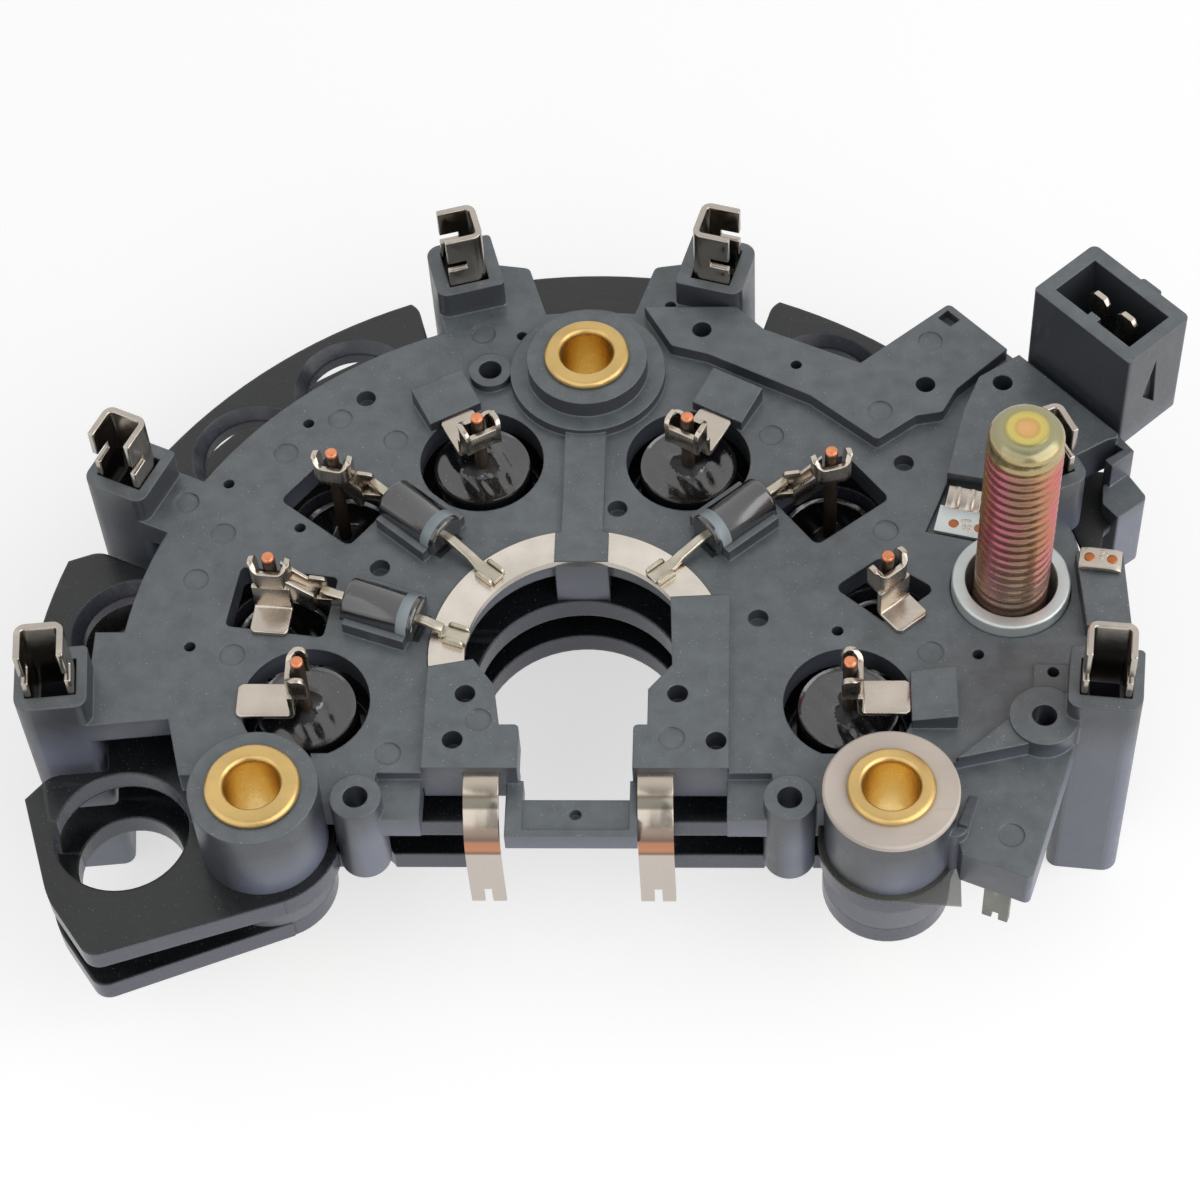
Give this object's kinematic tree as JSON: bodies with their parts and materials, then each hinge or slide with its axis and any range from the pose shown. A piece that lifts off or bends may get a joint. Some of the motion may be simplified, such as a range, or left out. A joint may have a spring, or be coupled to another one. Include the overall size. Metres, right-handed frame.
{
  "type": "alternator rectifier",
  "caption": "Horseshoe rectifier for an alternator: stacked heat sinks with press-fit diodes under a plastic terminal moulding, with clips, a threaded output stud and a plug socket.",
  "frame": {"origin": "on the alternator's axis, the centre of the bolt circle, at the underside of the lower heat sink", "axes": "+Z along the axis, out of the alternator; +Y to the closed rear of the horseshoe; +X to the output stud"},
  "size_m": [0.121, 0.0875, 0.0544],
  "materials": {
    "heat_sink": "black coated plate with paler cut edges",
    "moulding": "dark grey glass-filled plastic, slightly mottled",
    "spacer": "turned ring, dull",
    "brass": "bright brass, rounded flange",
    "fibre": "pinkish beige hard fibre",
    "film": "thin smoky insulating sheet",
    "potting": "glossy black potting compound with a wavy top",
    "copper": "bare copper lead with a bright cut end",
    "nickel": "warm nickel-plated sheet",
    "exciter": "black epoxy body with a pale cathode band",
    "tinned_wire": "tinned copper wire",
    "clip": "nickel-plated sheet, darker inside",
    "stud": "yellow chromate zinc with a pink sheen",
    "sleeve": "bright zinc-plated steel"
  },
  "bodies": {
    "root": {"lower_heat_sink": "heat_sink", "upper_heat_sink": "heat_sink", "terminal_moulding": "moulding", "spacer_rear": "spacer", "spacer_left": "spacer", "spacer_right": "spacer", "bush_rear": "brass", "bush_left": "brass", "bush_right": "brass", "fibre_washer": "fibre", "insulating_film": "film", "positive_diode_1": "potting", "positive_diode_2": "potting", "positive_diode_3": "potting", "positive_diode_4": "potting", "negative_diode_1": "potting", "negative_diode_2": "potting", "negative_diode_3": "potting", "negative_diode_4": "potting", "diode_lead_1": "copper", "diode_lead_2": "copper", "diode_lead_3": "copper", "diode_lead_4": "copper", "diode_lead_5": "copper", "diode_lead_6": "copper", "diode_lead_7": "copper", "diode_lead_8": "copper", "lead_tab_1": "nickel", "lead_tab_2": "nickel", "lead_tab_3": "nickel", "lead_tab_4": "nickel", "lead_tab_5": "nickel", "lead_tab_6": "nickel", "lead_tab_7": "nickel", "lead_tab_8": "nickel", "field_ring": "nickel", "contact_strip_1": "nickel", "contact_strip_2": "nickel", "connector_blade_1": "nickel", "connector_blade_2": "nickel", "weld_tab_1": "nickel", "weld_tab_2": "nickel", "suppressor_tab": "nickel", "exciter_diode_1": "exciter", "exciter_diode_2": "exciter", "exciter_diode_3": "exciter", "exciter_wire_1": "tinned_wire", "exciter_wire_2": "tinned_wire", "exciter_wire_3": "tinned_wire", "stator_clip_1": "clip", "stator_clip_2": "clip", "stator_clip_3": "clip", "stator_clip_4": "clip", "stator_clip_5": "clip", "stator_clip_6": "clip", "terminal_stud": "stud", "terminal_sleeve": "sleeve"}
  },
  "joints": []
}
